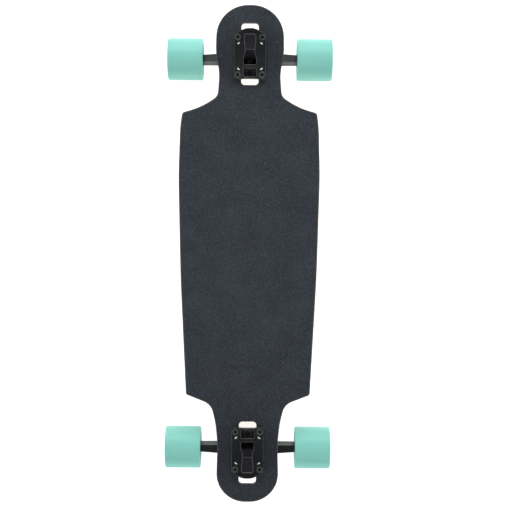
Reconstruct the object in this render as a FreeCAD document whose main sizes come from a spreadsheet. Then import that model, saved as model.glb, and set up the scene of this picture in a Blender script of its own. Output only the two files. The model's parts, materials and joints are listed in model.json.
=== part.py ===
"""Drop-through longboard with two reverse-kingpin trucks.

Frame: X across the board, Y along it with the nose at +Y, Z up from the floor.
Lengths are in millimetres and angles in degrees.

Two frames are used for each truck. The truck frame stands on the floor under the middle
of the mounting bolts, with its Y pointing outward, away from the middle of the board.
The pivot frame sits in the middle of the hanger's ring: its Y runs up and outward along
the steering axis and its Z runs along the kingpin towards the board.
"""
import FreeCAD, Part
import math
import os

import Sketcher
from FreeCAD import Placement, Rotation, Vector

SIZES = {
    # deck and grip tape
    "deck_length": 840.2,
    "deck_width": 238.4,
    "deck_thickness": 11.5,
    "deck_flat_width": 156,
    "deck_bend_radius": 200,
    "rail_angle": 9.6,
    "rail_round": 3,
    "grip_thickness": 0.8,
    "grip_inset": 1.8,
    # opening in the deck under each truck
    "truck_overhang": 87.5,
    "opening_length": 106,
    "opening_width": 29.4,
    "opening_shift": 4.8,
    "opening_round": 6,
    "opening_middle_length": 53,
    "opening_middle_width": 48,
    "opening_middle_round": 4,
    "opening_inner_round": 2,
    # mounting bolts and nuts
    "bolt_pattern_width": 41.3,
    "bolt_pattern_length": 63.5,
    "bolt_diameter": 4.8,
    "bolt_hole_diameter": 5.5,
    "bolt_head_diameter": 9.4,
    "bolt_head_depth": 2.9,
    "bolt_head_sink": 0.3,
    "bolt_socket_width": 3.4,
    "bolt_socket_depth": 2.2,
    "bolt_tail": 2.5,
    "mount_nut_width": 9.5,
    "mount_nut_height": 5.5,
    # baseplate
    "truck_height": 64,
    "flange_length": 86.4,
    "flange_width": 53.8,
    "flange_shift": 3.7,
    "flange_thickness": 7,
    "core_width": 27.4,
    "core_inset": 3,
    "channel_width": 21.6,
    "channel_depth": 1.6,
    "well_round": 22,
    "crossbar_width": 6.4,
    "pocket_depth": 14,
    "pivot_boss_diameter": 13.4,
    "pivot_boss_peak": 3,
    "pivot_boss_angle": 20,
    "slit_length": 5,
    "slit_width": 2.2,
    "slit_angle": 36,
    "tower_wall": 2.4,
    # steering geometry
    "axle_lead": 4,
    "pivot_angle": 50,
    "pivot_length": 44.8,
    "axle_set_back": 28,
    "axle_drop": 13.4,
    "pivot_nose_diameter": 11,
    "pivot_cup_wall": 2,
    "pivot_cup_depth": 6,
    "pivot_fit": 0.3,
    # kingpin stack
    "kingpin_diameter": 9.5,
    "kingpin_head_width": 14.3,
    "kingpin_head_height": 6,
    "kingpin_tail": 2.5,
    "kingpin_fit": 0.1,
    "kingpin_nut_width": 14.3,
    "kingpin_nut_height": 8.5,
    "seat_thickness": 9,
    "bushing_diameter": 27,
    "bushing_height": 14,
    "bushing_round": 2.5,
    "cup_washer_diameter": 26,
    "cup_washer_thickness": 1.8,
    # hanger
    "ring_diameter": 38,
    "ring_height": 12,
    "ring_web": 7,
    "ring_hole_diameter": 17,
    "ring_seat_diameter": 28.4,
    "spine_diameter": 18,
    "hanger_width": 180,
    "hanger_depth_middle": 27,
    "hanger_depth_end": 18.8,
    "hanger_middle_shift": 3,
    # axle and bearings
    "axle_diameter": 7.94,
    "axle_tail": 1.5,
    "axle_nut_width": 12.7,
    "axle_nut_height": 7.5,
    "axle_washer_diameter": 12,
    "axle_washer_thickness": 1,
    "bearing_bore": 8,
    "bearing_diameter": 22,
    "bearing_width": 7,
    "bearing_gap": 10,
    "inner_race_diameter": 12,
    "outer_race_bore": 18,
    "ball_diameter": 3.969,
    "ball_fit": 0.3,
    "spacer_diameter": 10.8,
    "shield_thickness": 0.6,
    "shield_sink": 0.2,
    "shield_clearance": 0.35,
    "cage_wall": 1.2,
    "cage_back": 0.35,
    "cage_fit": 0.1,
    # wheels
    "wheel_diameter": 72,
    "wheel_width": 61,
    "wheel_edge_round": 2.5,
    "wheel_recess": 10,
    "wheel_mouth_diameter": 56,
    "wheel_rim_round": 2,
    "core_diameter": 42,
    "core_shoulder_bore": 18.4,
    # cutting tools reach this far past what they cut
    "overrun": 5,
}

# Right half of the deck's outline from nose to tail: place across and along as shares of
# half the width and half the length, and corner rounding as a share of half the width.
DECK_OUTLINE_SHARES = [
    (0.472, 1.0, 0.454),
    (0.485, 0.807, 0.825),
    (0.430, 0.723, 0.842),
    (0.453, 0.632, 0.134),
    (0.691, 0.586, 1.198),
    (0.954, 0.564, 0.057),
    (0.981, 0.505, 1.664),
    (1.0, 0.310, 6.399),
    (0.962, -0.094, 16.463),
    (0.876, -0.568, 0.039),
    (0.522, -0.609, 0.210),
    (0.454, -0.685, 1.094),
    (0.425, -0.771, 1.7),
    (0.448, -1.0, 0.4),
]

# Right half of the baseplate's flange from its outer end inwards, as shares of half its
# width across, of its length along from its outer end, and of half its width for rounding.
FLANGE_OUTLINE_SHARES = [
    (0.33, 0.0, 1.0),
    (1.0, 0.125, 0.15),
    (1.0, 1.0, 0.13),
    (0.30, 0.985, 2.0),
]

# Right half of the channel in the baseplate's top, from its outer end inwards: shares of half
# its width across, and of half the flange's length along, measured from the bolts' middle.
CHANNEL_OUTLINE_SHARES = [
    (0.89, 0.855, 0.27),
    (0.89, 0.55, 1.5),
    (0.75, 0.32, 1.5),
    (0.75, 0.125, 1.0),
    (1.0, -0.08, 1.0),
]

# The crossbar and the pocket in the channel, as shares of half the flange's length, and the
# rounding of the pocket as a share of half the channel's width.
CROSSBAR_PLACE_SHARE = 0.412
POCKET_END_SHARE = 0.81
POCKET_ROUND_SHARE = 0.3

# Middles of the slits, as shares of the bolts' places, and the rounding of their ends as a
# share of half their width.
SLIT_ACROSS_SHARE = 0.94
SLIT_ALONG_SHARE = 0.68
SLIT_ROUND_SHARE = 0.9

# The baseplate's rib from its core to the pivot tower: its back and throat as shares of the
# tower's radius, its neck as a share of the spine's diameter, its shoulder as a share of the
# way down its back, and the lip under the kingpin's seat as a share of the seat's thickness.
RIB_BACK_SHARES = (0.6, 0.3)
RIB_THROAT_SHARE = 0.9
RIB_NECK_SHARE = 0.66
RIB_SHOULDER_SHARE = 0.5
SEAT_LIP_SHARE = 0.33

# The round dished boss in the pocket: its place as a share of the way from the crossbar to the
# pocket's end, and its form as shares of its radius.
BOSS_PLACE_SHARE = 0.33
BOSS_SINK_SHARE = 0.2
BOSS_DISH_SHARES = (0.86, 0.76)
BOSS_RISE_SHARE = 0.4
BOSS_FLOOR_SHARE = 0.2

# Section of the hanger's beam round the axle, in the pivot frame, as shares of half its depth.
BEAM_SECTION_SHARES = [
    (0.157, -0.887),
    (0.777, -0.366),
    (0.498, 1.149),
    (0.008, 1.639),
    (-0.790, 0.708),
    (-0.940, -0.202),
    (-0.497, -0.730),
]

# The web between ring and beam: its reach as a share of half the hanger, its start as shares
# of the ring's radius and its outer thickness as a share of the beam's depth.
WEB_REACH_SHARE = 0.55
WEB_START_SHARES = (0.95, 0.3)
WEB_TIP_SHARE = 0.1

# Bar ends, the domes of the pivot, the bushings' narrow end, the bare part of the pivot's
# nose and the cages' reach past the balls' middle, as shares of what they belong to.
BAR_END_SHARE = 0.85
DOME_SHARE = 0.9
BUSHING_END_SHARE = 0.9
NOSE_BARE_SHARE = 0.75
CAGE_REACH_SHARE = 0.3
BALLS_IN_BEARING = 7

# How near to upright a face's normal is on a wall, and to level on a floor.
WALL_SHARE = 0.1
FLOOR_SHARE = 0.9

doc = FreeCAD.newDocument("longboard")
sheet = doc.addObject("Spreadsheet::Sheet", "Sizes")
for row, (alias, amount) in enumerate(SIZES.items(), start=1):
    sheet.set(f"A{row}", alias)
    sheet.set(f"B{row}", str(amount))
    sheet.setAlias(f"B{row}", alias)
doc.recompute()


class Size:
    """A number together with the sheet expression that gives it."""

    def __init__(self, value, text):
        self.value = value
        self.text = text

    def __add__(self, other):
        return Size(self.value + number(other), f"({self.text} + {written(other)})")

    def __radd__(self, other):
        return Size(number(other) + self.value, f"({written(other)} + {self.text})")

    def __sub__(self, other):
        return Size(self.value - number(other), f"({self.text} - {written(other)})")

    def __rsub__(self, other):
        return Size(number(other) - self.value, f"({written(other)} - {self.text})")

    def __mul__(self, other):
        return Size(self.value * number(other), f"({self.text} * {written(other)})")

    __rmul__ = __mul__

    def __truediv__(self, other):
        return Size(self.value / number(other), f"({self.text} / {written(other)})")

    def __neg__(self):
        return self * -1


def number(value):
    """The plain number of a size or a number."""
    return value.value if isinstance(value, Size) else float(value)


def written(value):
    """The sheet expression of a size or a number."""
    return value.text if isinstance(value, Size) else f"({float(value)!r})"


def sine(angle):
    return Size(math.sin(math.radians(angle.value)), f"sin({angle.text})")


def cosine(angle):
    return Size(math.cos(math.radians(angle.value)), f"cos({angle.text})")


def tangent(angle):
    return Size(math.tan(math.radians(angle.value)), f"tan({angle.text})")


class Sheet:
    """Gives each cell of the sheet as a Size, by its alias."""

    def __getattr__(self, alias):
        return Size(float(sheet.get(alias)), f"Sizes.{alias}")


size = Sheet()

# Sketch planes: which way a sketch's own X, Y and normal point.
PLAN = Rotation()
FRONT = Rotation(Vector(1, 0, 0), Vector(0, 0, 1), Vector(0, -1, 0), "XYZ")
SIDE = Rotation(Vector(0, 1, 0), Vector(0, 0, 1), Vector(1, 0, 0), "XYZ")
UPRIGHT = Rotation(Vector(0, 0, 1), Vector(1, 0, 0), Vector(0, 1, 0), "XYZ")


def at(x=0, y=0, z=0, rotation=PLAN):
    """Placement at a point given in sizes."""
    return Placement(Vector(number(x), number(y), number(z)), rotation)


def bind(item, prop, amount):
    """Set a property and tie it to the sheet."""
    setattr(item, prop, number(amount))
    if isinstance(amount, Size):
        item.setExpression(prop, amount.text)


def new_sketch(label, placement):
    """Sketch standing free at a placement."""
    sketch = doc.addObject("Sketcher::SketchObject", label)
    sketch.Placement = placement
    return sketch


def body_sketch(body, label, role, height=0):
    """Sketch on one of a body's own origin planes, raised by a height along its normal."""
    sketch = body.newObject("Sketcher::SketchObject", label)
    plane = next(item for item in body.Origin.OriginFeatures if item.Role == role)
    sketch.AttachmentSupport = [(plane, "")]
    sketch.MapMode = "FlatFace"
    sketch.AttachmentOffset = at(z=height)
    if isinstance(height, Size):
        sketch.setExpression("AttachmentOffset.Base.z", height.text)
    return sketch


def rule(kind, *places, amount):
    """A dimension of a sketch, with the size that drives it."""
    return Sketcher.Constraint(kind, *places, number(amount)), amount


def pinned(item, end, x, y):
    """Dimensions that fix a point of a sketch by its distances from the sketch's origin."""
    rules = []
    for kind, axis, amount in (("DistanceX", -2, x), ("DistanceY", -1, y)):
        if isinstance(amount, Size):
            rules.append(rule(kind, -1, 1, item, end, amount=amount))
        else:
            rules.append((Sketcher.Constraint("PointOnObject", item, end, axis), None))
    return rules


def constrain(sketch, rules):
    """Add all the rules to a sketch at once and tie those that have a size to the sheet."""
    first = sketch.ConstraintCount
    sketch.addConstraint([constraint for constraint, amount in rules])
    for index, (constraint, amount) in enumerate(rules, start=first):
        if isinstance(amount, Size):
            sketch.setExpression(f"Constraints[{index}]", amount.text)


def rounding(before, corner, after, radius):
    """Arc that rounds a corner: where it starts, where it ends, and its counter-clockwise curve.

    The last value tells whether the path turns left, so that the curve runs along it.
    """
    back = (before - corner).normalize()
    ahead = (after - corner).normalize()
    half = back.getAngle(ahead) / 2
    start = corner + back * (radius / math.tan(half))
    stop = corner + ahead * (radius / math.tan(half))
    centre = corner + (back + ahead).normalize() * (radius / math.sin(half))
    left = back.cross(ahead).z < 0
    first, last = (start, stop) if left else (stop, start)
    angles = [math.atan2(point.y - centre.y, point.x - centre.x) for point in (first, last)]
    full = Part.Circle(centre, Vector(0, 0, 1), radius)
    return start, stop, Part.ArcOfCircle(full, *angles), left


def outline(sketch, corners):
    """Closed outline of straight edges; a corner (x, y, r) is rounded, (x, y) is sharp.

    A rounding is an arc that touches both edges. Its corner stays as a fixed point that
    both edges aim at, so that the sizes drive the corners.
    """
    count = len(corners)
    points = [Vector(number(corner[0]), number(corner[1]), 0) for corner in corners]
    starts, stops = list(points), list(points)
    arcs = {}
    for i, corner in enumerate(corners):
        if len(corner) > 2:
            starts[i], stops[i], curve, left = rounding(
                points[i - 1], points[i], points[(i + 1) % count], number(corner[2]))
            arcs[i] = (curve, left)
    edge_base = sketch.GeometryCount
    arc_base = edge_base + count
    point_base = arc_base + len(arcs)
    edges = [Part.LineSegment(stops[i], starts[(i + 1) % count]) for i in range(count)]
    sketch.addGeometry(edges + [curve for curve, left in arcs.values()], False)
    if arcs:
        sketch.addGeometry([Part.Point(points[i]) for i in arcs], True)
    rules = []
    order = list(arcs)
    for i, corner in enumerate(corners):
        before, after = edge_base + (i - 1) % count, edge_base + i
        if i not in arcs:
            rules.append((Sketcher.Constraint("Coincident", before, 2, after, 1), None))
            rules += pinned(after, 1, corner[0], corner[1])
            continue
        arc, point = arc_base + order.index(i), point_base + order.index(i)
        first, last = (1, 2) if arcs[i][1] else (2, 1)
        rules += pinned(point, 1, corner[0], corner[1])
        rules.append((Sketcher.Constraint("PointOnObject", point, 1, before), None))
        rules.append((Sketcher.Constraint("PointOnObject", point, 1, after), None))
        rules.append((Sketcher.Constraint("Tangent", before, 2, arc, first), None))
        rules.append((Sketcher.Constraint("Tangent", arc, last, after, 1), None))
        rules.append(rule("Radius", arc, amount=corner[2]))
    constrain(sketch, rules)


def both_sides(half):
    """Whole outline from its right half, given from one end to the other."""
    return half + [(-corner[0],) + tuple(corner[1:]) for corner in reversed(half)]


def circle(sketch, x, y, radius):
    """Full circle in a sketch."""
    centre = Vector(number(x), number(y), 0)
    item = sketch.addGeometry(Part.Circle(centre, Vector(0, 0, 1), number(radius)), False)
    constrain(sketch, pinned(item, 3, x, y) + [rule("Radius", item, amount=radius)])


def extruded(label, sketch, forward, backward=0):
    """Solid made by pushing a free sketch along its normal."""
    item = doc.addObject("Part::Extrusion", label)
    item.Base = sketch
    item.DirMode = "Normal"
    item.FaceMakerClass = "Part::FaceMakerBullseye"
    item.Solid = True
    bind(item, "LengthFwd", forward)
    bind(item, "LengthRev", backward)
    return item


def turned(label, placement, *profiles):
    """Solids of revolution, one for each profile of (along, radius) corners.

    The profiles lie in the placement's own X and Y, and turn about its X.
    """
    sketch = new_sketch(label + "_profile", placement)
    for profile in profiles:
        outline(sketch, profile)
    item = doc.addObject("Part::Revolution", label)
    item.Source = sketch
    item.FaceMakerClass = "Part::FaceMakerBullseye"
    item.Solid = True
    item.Axis = placement.Rotation.multVec(Vector(1, 0, 0))
    item.Base = placement.Base
    item.Angle = 360
    return item


def tube(start, end, inner, outer):
    """Profile of a plain ring between two places along its axis and two radii."""
    return [(start, inner), (end, inner), (end, outer), (start, outer)]


def bar(start, end, radius):
    """Profile of a round bar whose two ends are turned down."""
    tip = radius * BAR_END_SHARE
    slope = radius - tip
    return [(start, 0), (start, tip), (start + slope, radius), (end - slope, radius),
            (end, tip), (end, 0)]


def domed(radius, length):
    """Profile of a round bar with a domed end, from the dome's middle along its axis."""
    return [(-radius, 0), (-radius, radius, radius * DOME_SHARE), (length, radius), (length, 0)]


def cylinder(label, placement, radius, height):
    """Cylinder standing along the placement's Z."""
    item = doc.addObject("Part::Cylinder", label)
    bind(item, "Radius", radius)
    bind(item, "Height", height)
    item.Placement = placement
    return item


def sphere(label, placement, radius):
    """Ball about the placement's origin."""
    item = doc.addObject("Part::Sphere", label)
    bind(item, "Radius", radius)
    item.Placement = placement
    return item


def box(label, frame, low, high):
    """Block between two corners, given in a frame."""
    item = doc.addObject("Part::Box", label)
    for prop, start, end in zip(("Length", "Width", "Height"), low, high):
        bind(item, prop, end - start)
    item.Placement = frame.multiply(at(*low))
    return item


def hexagon(label, placement, across, height):
    """Six-sided bar along the placement's Z, by its width across flats."""
    item = doc.addObject("Part::Prism", label)
    item.Polygon = 6
    bind(item, "Circumradius", across / math.sqrt(3))
    bind(item, "Height", height)
    item.Placement = placement
    return item


def fused(label, *items):
    item = doc.addObject("Part::MultiFuse", label)
    item.Shapes = list(items)
    item.Refine = True
    return item


def cut(label, base, *tools):
    item = doc.addObject("Part::Cut", label)
    item.Base = base
    item.Tool = tools[0] if len(tools) == 1 else fused(label + "_tools", *tools)
    item.Refine = True
    return item


def shared(label, first, second):
    """Solid that two objects have in common."""
    item = doc.addObject("Part::Common", label)
    item.Base = first
    item.Tool = second
    return item


def group(label, *items):
    """Several separate solids under one name."""
    item = doc.addObject("Part::Compound", label)
    item.Links = list(items)
    return item


def nut(label, placement, across, height, bore):
    """Hexagonal nut along the placement's Z, with corners turned off at both ends."""
    bar = hexagon(label + "_bar", placement, across, height)
    middle = placement.multiply(at(z=height / 2))
    flat = number(across) / 2
    reach = math.hypot(flat, number(height) / 2) / flat
    ball = sphere(label + "_ball", middle, across / 2 * reach)
    hole = cylinder(label + "_bore", placement, bore, height)
    return cut(label, shared(label + "_blank", bar, ball), hole)


pieces = []


def keep(item):
    """Note an object as a finished piece."""
    pieces.append(item)
    return item


# Heights above the floor and places that several pieces share.
axle_height = size.wheel_diameter / 2
flange_top = axle_height + size.truck_height
flange_bottom = flange_top - size.flange_thickness
deck_top = flange_bottom - size.grip_thickness
deck_bottom = deck_top - size.deck_thickness
half_width = size.deck_width / 2
half_length = size.deck_length / 2
half_spacing = half_length - size.truck_overhang
rise, run = sine(size.pivot_angle), cosine(size.pivot_angle)
ring_along = size.axle_lead + size.axle_set_back * run - size.axle_drop * rise
ring_height = axle_height + size.axle_set_back * rise + size.axle_drop * run


def in_truck(along, height):
    """Truck-frame place (outward, up) of a pivot-frame place (along axis, along kingpin)."""
    return (ring_along + along * run - height * rise, ring_height + along * rise + height * run)


# The kingpin's stack, as places along the kingpin from the middle of the ring.
bushing_start = size.ring_web / 2
bushing_end = bushing_start + size.bushing_height
washer_end = bushing_end + size.cup_washer_thickness
seat_end = washer_end + size.seat_thickness
nut_end = washer_end + size.kingpin_nut_height
kingpin_end = nut_end + size.kingpin_tail
kingpin_radius = size.kingpin_diameter / 2

# The pivot, as places along the steering axis from the middle of the ring.
pivot_place = -size.pivot_length
mouth_place = pivot_place + size.pivot_cup_depth
nose_radius = size.pivot_nose_diameter / 2
cup_bore = nose_radius + size.pivot_fit
cup_radius = cup_bore + size.pivot_cup_wall
tower_radius = cup_radius + size.tower_wall

# The axle's stack, as distances from the middle of the truck.
hanger_end = size.hanger_width / 2
inner_bearing = hanger_end + size.axle_washer_thickness
spacer_start = inner_bearing + size.bearing_width
outer_bearing = spacer_start + size.bearing_gap
washer_start = outer_bearing + size.bearing_width
nut_start = washer_start + size.axle_washer_thickness
axle_end = nut_start + size.axle_nut_height + size.axle_tail
wheel_inner = inner_bearing - size.wheel_recess
wheel_outer = wheel_inner + size.wheel_width
axle_radius = size.axle_diameter / 2


def section_above(half, lift):
    """Region above the deck's bent top surface, lifted by an amount along its normal."""
    bend = size.deck_flat_width / 2 - lift * tangent(size.rail_angle / 2)
    level = deck_top + lift
    rail = level + (half - bend) * tangent(size.rail_angle)
    top = rail + size.overrun * 2
    turn = size.deck_bend_radius - lift
    return both_sides([(half, top), (half, rail), (bend, level, turn)])


def section_below(half, drop):
    """Region below the deck's bent top surface, dropped by an amount along its normal."""
    bend = size.deck_flat_width / 2 + drop * tangent(size.rail_angle / 2)
    level = deck_top - drop
    rail = level + (half - bend) * tangent(size.rail_angle)
    bottom = level - size.overrun * 2
    turn = size.deck_bend_radius + drop
    return both_sides([(half, bottom), (half, rail), (bend, level, turn)])


def opening_outline(end):
    """Outline of the deck's opening under a truck: a long slot that is wider in its middle."""
    slot = size.opening_width / 2
    wide = size.opening_middle_width / 2
    far = size.opening_shift + size.opening_length / 2
    near = size.opening_shift - size.opening_length / 2
    middle = size.opening_middle_length / 2
    turn, inner, corner = size.opening_round, size.opening_inner_round, size.opening_middle_round
    half = [(slot, far, turn), (slot, middle, inner), (wide, middle, corner),
            (wide, -middle, corner), (slot, -middle, inner), (slot, near, turn)]
    return [(x * end, (y + half_spacing) * end, r) for x, y, r in both_sides(half)]


def bolt_places():
    """Places of the four mounting bolts in the truck frame."""
    across = size.bolt_pattern_width / 2
    along = size.bolt_pattern_length / 2
    return [(across * i, along * j) for i in (-1, 1) for j in (-1, 1)]


def deck_outline(inset):
    """Outline of the deck, drawn in by an inset along both of its sizes."""
    wide, long = half_width - inset, half_length - inset
    return both_sides([(wide * x, long * y, wide * r) for x, y, r in DECK_OUTLINE_SHARES])


def board_sheet(label, inset, lift, thickness, level):
    """Body of the deck's outline, bent like the deck, between two of its offset surfaces."""
    body = doc.addObject("PartDesign::Body", label)
    sketch = body_sketch(body, label + "_outline", "XY_Plane", level - size.overrun)
    outline(sketch, deck_outline(inset))
    blank = body.newObject("PartDesign::Pad", label + "_blank")
    blank.Profile = sketch
    rail = (half_width - size.deck_flat_width / 2) * tangent(size.rail_angle)
    bind(blank, "Length", rail + thickness + size.overrun * 2)
    reach = half_width + size.overrun
    for name, region in (("above", section_above(reach, lift)),
                         ("below", section_below(reach, thickness - lift))):
        sketch = body_sketch(body, f"{label}_{name}", "XZ_Plane")
        outline(sketch, region)
        pocket = body.newObject("PartDesign::Pocket", f"{label}_cut_{name}")
        pocket.Profile = sketch
        pocket.Midplane = True
        bind(pocket, "Length", size.deck_length + size.overrun)
    sketch = body_sketch(body, label + "_openings", "XY_Plane", level)
    for end in (1, -1):
        outline(sketch, opening_outline(end))
        for x, y in bolt_places():
            circle(sketch, x, (y + half_spacing) * end, size.bolt_hole_diameter / 2)
    pocket = body.newObject("PartDesign::Pocket", label + "_cut_openings")
    pocket.Profile = sketch
    pocket.Midplane = True
    bind(pocket, "Length", (rail + thickness + size.overrun) * 2)
    doc.recompute()
    return body


def in_opening(point):
    """Whether a point of the deck lies by one of its openings rather than by its rail."""
    along = abs(abs(point.y) - number(half_spacing))
    return (along < number(size.opening_length / 2 + size.opening_shift + size.overrun)
            and abs(point.x) < number(size.opening_middle_width / 2 + size.overrun))


def round_rail(body):
    """Round the lower edge of the deck's rail."""
    blank = body.Tip
    shape = blank.Shape
    names = []
    for count, edge in enumerate(shape.Edges, start=1):
        middle = edge.valueAt((edge.FirstParameter + edge.LastParameter) / 2)
        levels = [face.normalAt(*face.Surface.parameter(middle)).z
                  for face in shape.ancestorsOfType(edge, Part.Face)]
        by_wall = any(abs(level) < WALL_SHARE for level in levels)
        by_floor = any(level < -FLOOR_SHARE for level in levels)
        if by_wall and by_floor and not in_opening(middle):
            names.append(f"Edge{count}")
    rail = body.newObject("PartDesign::Fillet", body.Label + "_rail")
    rail.Base = (blank, names)
    bind(rail, "Radius", size.rail_round)
    doc.recompute()
    return body


keep(round_rail(board_sheet("deck", 0, 0, size.deck_thickness, deck_bottom)))
keep(board_sheet("grip_tape", size.grip_inset, size.grip_thickness, size.grip_thickness,
                 deck_top))


def build_baseplate(name, truck, pivot):
    """Flange on the deck, hollow core through it, kingpin seat and pivot tower."""
    wide = size.flange_width / 2
    outer = size.flange_shift + size.flange_length / 2
    half = [(wide * x, outer - size.flange_length * y, wide * r)
            for x, y, r in FLANGE_OUTLINE_SHARES]
    sketch = new_sketch(name + "_flange_outline", truck.multiply(at(z=flange_bottom)))
    outline(sketch, both_sides(half))
    flange = extruded(name + "_flange", sketch, size.flange_thickness)

    seat_low = -size.ring_diameter / 2 + size.seat_thickness * SEAT_LIP_SHARE
    roof = flange_top - size.flange_thickness / 2
    seat_top = (roof - ring_height - washer_end * run) / rise
    inner_end = size.flange_shift - size.flange_length / 2 + size.core_inset
    waist = in_truck(seat_low, washer_end)
    foot = in_truck(pivot_place, 0)
    back_in, back_up = RIB_BACK_SHARES
    lean = (foot[0] - tower_radius * back_in, foot[1] + tower_radius * back_up)
    throat = in_truck(mouth_place, tower_radius * RIB_THROAT_SHARE)
    neck = in_truck(mouth_place / 2, size.spine_diameter * RIB_NECK_SHARE)
    shoulder = (inner_end + (lean[0] - inner_end) * RIB_SHOULDER_SHARE,
                roof + (lean[1] - roof) * RIB_SHOULDER_SHARE)
    core_side = new_sketch(name + "_core_side", truck.multiply(at(rotation=SIDE)))
    outline(core_side, [(inner_end, roof), in_truck(seat_top, washer_end), waist, shoulder])
    core = extruded(name + "_core", core_side, size.core_width / 2, size.core_width / 2)
    rib_side = new_sketch(name + "_rib_side", truck.multiply(at(rotation=SIDE)))
    outline(rib_side, [shoulder, waist, neck, throat, foot, lean])
    rib = extruded(name + "_rib", rib_side, tower_radius, tower_radius)
    from_pivot = pivot.multiply(at(y=pivot_place, rotation=SIDE))
    tower = turned(name + "_tower", from_pivot, domed(tower_radius, size.pivot_cup_depth))

    channel_half = size.channel_width / 2
    bar_middle = -size.flange_length / 2 * CROSSBAR_PLACE_SHARE
    bar_inner = bar_middle - size.crossbar_width / 2
    bar_outer = bar_middle + size.crossbar_width / 2
    half = [(channel_half * x, size.flange_length / 2 * y, channel_half * r)
            for x, y, r in CHANNEL_OUTLINE_SHARES]
    half.append((channel_half, bar_inner))
    shallow = flange_top - size.channel_depth
    sketch = new_sketch(name + "_channel_outline", truck.multiply(at(z=ring_height)))
    outline(sketch, both_sides(half))
    column = extruded(name + "_channel_column", sketch, size.truck_height)
    bend = in_truck((shallow - ring_height - seat_end * run) / rise, seat_end)
    seat_foot = in_truck(-size.ring_diameter, seat_end)
    above = flange_top + size.overrun
    sketch = new_sketch(name + "_channel_side", truck.multiply(at(rotation=SIDE)))
    outline(sketch, [(outer, shallow), (outer, above), (seat_foot[0], above), seat_foot,
                     (*bend, size.well_round)])
    over_floor = extruded(name + "_over_floor", sketch, channel_half, channel_half)
    channel = shared(name + "_channel", column, over_floor)
    pocket_floor = flange_top - size.pocket_depth
    pocket_end = -size.flange_length / 2 * POCKET_END_SHARE
    sketch = new_sketch(name + "_pocket_outline", truck.multiply(at(z=pocket_floor)))
    pocket_round = channel_half * POCKET_ROUND_SHARE
    outline(sketch, both_sides([(channel_half, bar_inner + size.crossbar_width / 4),
                                (channel_half, pocket_end, pocket_round)]))
    pocket = extruded(name + "_pocket", sketch, size.pocket_depth + size.overrun)
    bore = turned(name + "_cup_bore", from_pivot,
                  domed(cup_radius, size.pivot_cup_depth + size.overrun))
    hole = cylinder(name + "_kingpin_hole", pivot.multiply(at(z=bushing_end)),
                    kingpin_radius + size.kingpin_fit, seat_end)
    tools = [channel, pocket, bore, hole]

    sketch = new_sketch(name + "_slit_outlines", truck.multiply(at(z=flange_bottom)))
    turn_cos, turn_sin = cosine(size.slit_angle), sine(size.slit_angle)
    reach, thin = size.slit_length / 2, size.slit_width / 2
    for i in (-1, 1):
        for j in (-1, 1):
            middle_x = size.bolt_pattern_width / 2 * SLIT_ACROSS_SHARE * i
            middle_y = size.bolt_pattern_length / 2 * SLIT_ALONG_SHARE * j
            corners = []
            for a, b in ((-1, -1), (1, -1), (1, 1), (-1, 1)):
                x = (reach * turn_cos * a - thin * turn_sin * b) * (-i * j)
                y = reach * turn_sin * a + thin * turn_cos * b
                corners.append((middle_x + x, middle_y + y, thin * SLIT_ROUND_SHARE))
            outline(sketch, corners)
    tools.append(extruded(name + "_slits", sketch, size.flange_thickness + size.overrun,
                          size.truck_height))
    head_radius = size.bolt_head_diameter / 2 + size.pivot_fit
    hole_radius = size.bolt_hole_diameter / 2
    head_low = size.flange_thickness - size.bolt_head_sink - size.bolt_head_depth
    for count, (x, y) in enumerate(bolt_places(), start=1):
        place = truck.multiply(at(x, y, flange_bottom, UPRIGHT))
        tools.append(turned(f"{name}_bolt_hole_{count}", place, [
            (-size.overrun, 0), (-size.overrun, hole_radius), (head_low, hole_radius),
            (head_low + size.bolt_head_depth, head_radius),
            (size.flange_thickness + size.overrun, head_radius),
            (size.flange_thickness + size.overrun, 0)]))
    shell = cut(name + "_shell", fused(name + "_solid", flange, core, rib, tower), *tools)
    crossbar = box(name + "_crossbar", truck, (-channel_half, bar_inner, flange_bottom),
                   (channel_half, bar_outer, flange_top))
    boss_tilt = Rotation(Vector(1, 0, 0), number(size.pivot_boss_angle))
    boss_along = bar_inner + (pocket_end - bar_inner) * BOSS_PLACE_SHARE
    boss_place = truck.multiply(at(0, boss_along, pocket_floor, boss_tilt))
    boss_radius = size.pivot_boss_diameter / 2
    boss_sink = boss_radius * BOSS_SINK_SHARE
    boss_rise = boss_radius * BOSS_RISE_SHARE
    boss_floor = boss_radius * BOSS_FLOOR_SHARE
    dish_top, dish_low = [boss_radius * share for share in BOSS_DISH_SHARES]
    boss = turned(name + "_boss", boss_place.multiply(at(rotation=UPRIGHT)), [
        (-boss_sink, 0), (-boss_sink, boss_radius), (boss_rise, boss_radius),
        (boss_rise, dish_top), (boss_floor, dish_low), (boss_floor, size.pivot_boss_peak / 2),
        (boss_rise, 0)])
    return keep(fused(name, shell, crossbar, boss))


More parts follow.
